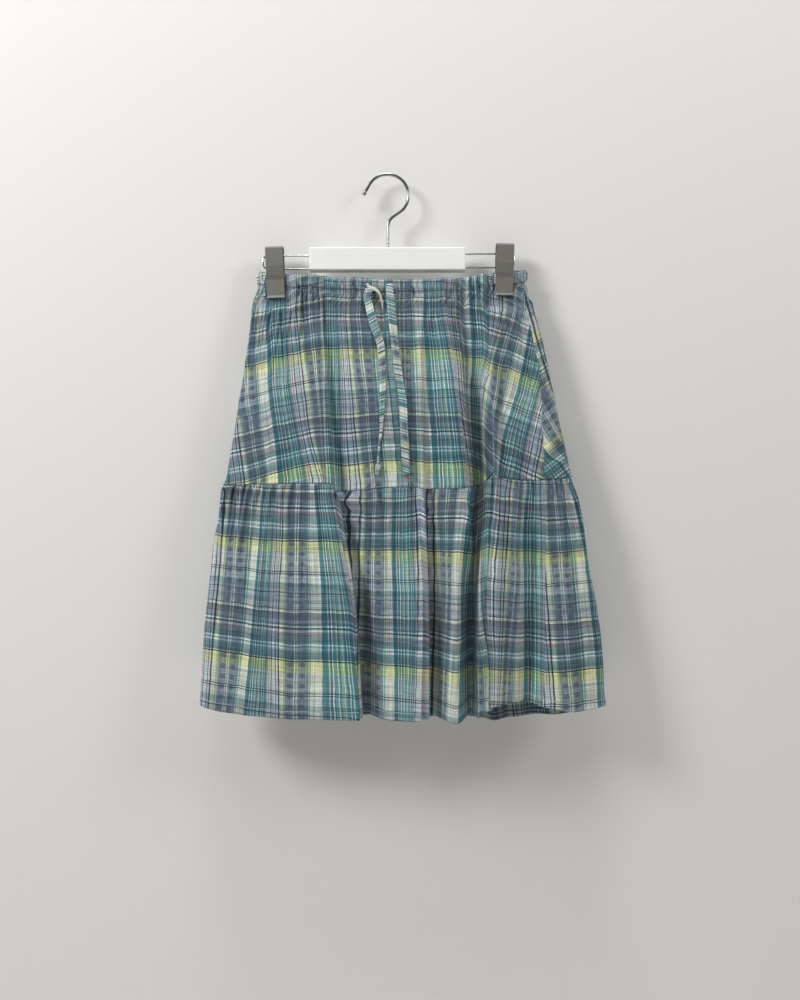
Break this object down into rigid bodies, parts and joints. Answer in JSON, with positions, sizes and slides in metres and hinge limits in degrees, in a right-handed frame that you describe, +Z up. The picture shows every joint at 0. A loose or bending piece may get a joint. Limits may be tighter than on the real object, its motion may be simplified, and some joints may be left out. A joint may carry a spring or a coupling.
{
  "type": "tiered checked skirt on a clip hanger",
  "caption": "Knee-length two-tier cotton skirt in a woven check, gathered into a drawstring casing, hung by its waist from a clip hanger.",
  "frame": {"origin": "underside of the hook's crown, where it bears on the rod or peg that holds it", "axes": "+Z up, -Y towards the front of the skirt, +X to the wearer's left, which is the right as seen from the front"},
  "size_m": [0.485, 0.0924, 0.6605],
  "materials": {
    "checked_cotton": "plain-woven cotton check in teal, slate, cream and yellow-green with small woven dots",
    "painted_wood": "white paint, satin",
    "bright_wire": "bright plated wire",
    "clip_steel": "dull grey folded sheet"
  },
  "bodies": {
    "root": {"upper_front": "checked_cotton", "upper_back": "checked_cotton", "lower_front": "checked_cotton", "lower_back": "checked_cotton", "tie_left": "checked_cotton", "tie_right": "checked_cotton", "tie_knot": "checked_cotton", "hanger_bar": "painted_wood", "hanger_hook": "bright_wire", "rail_left": "bright_wire", "rail_right": "bright_wire", "slider_left": "bright_wire", "slider_right": "bright_wire", "clip_left": "clip_steel", "clip_right": "clip_steel"}
  },
  "joints": []
}
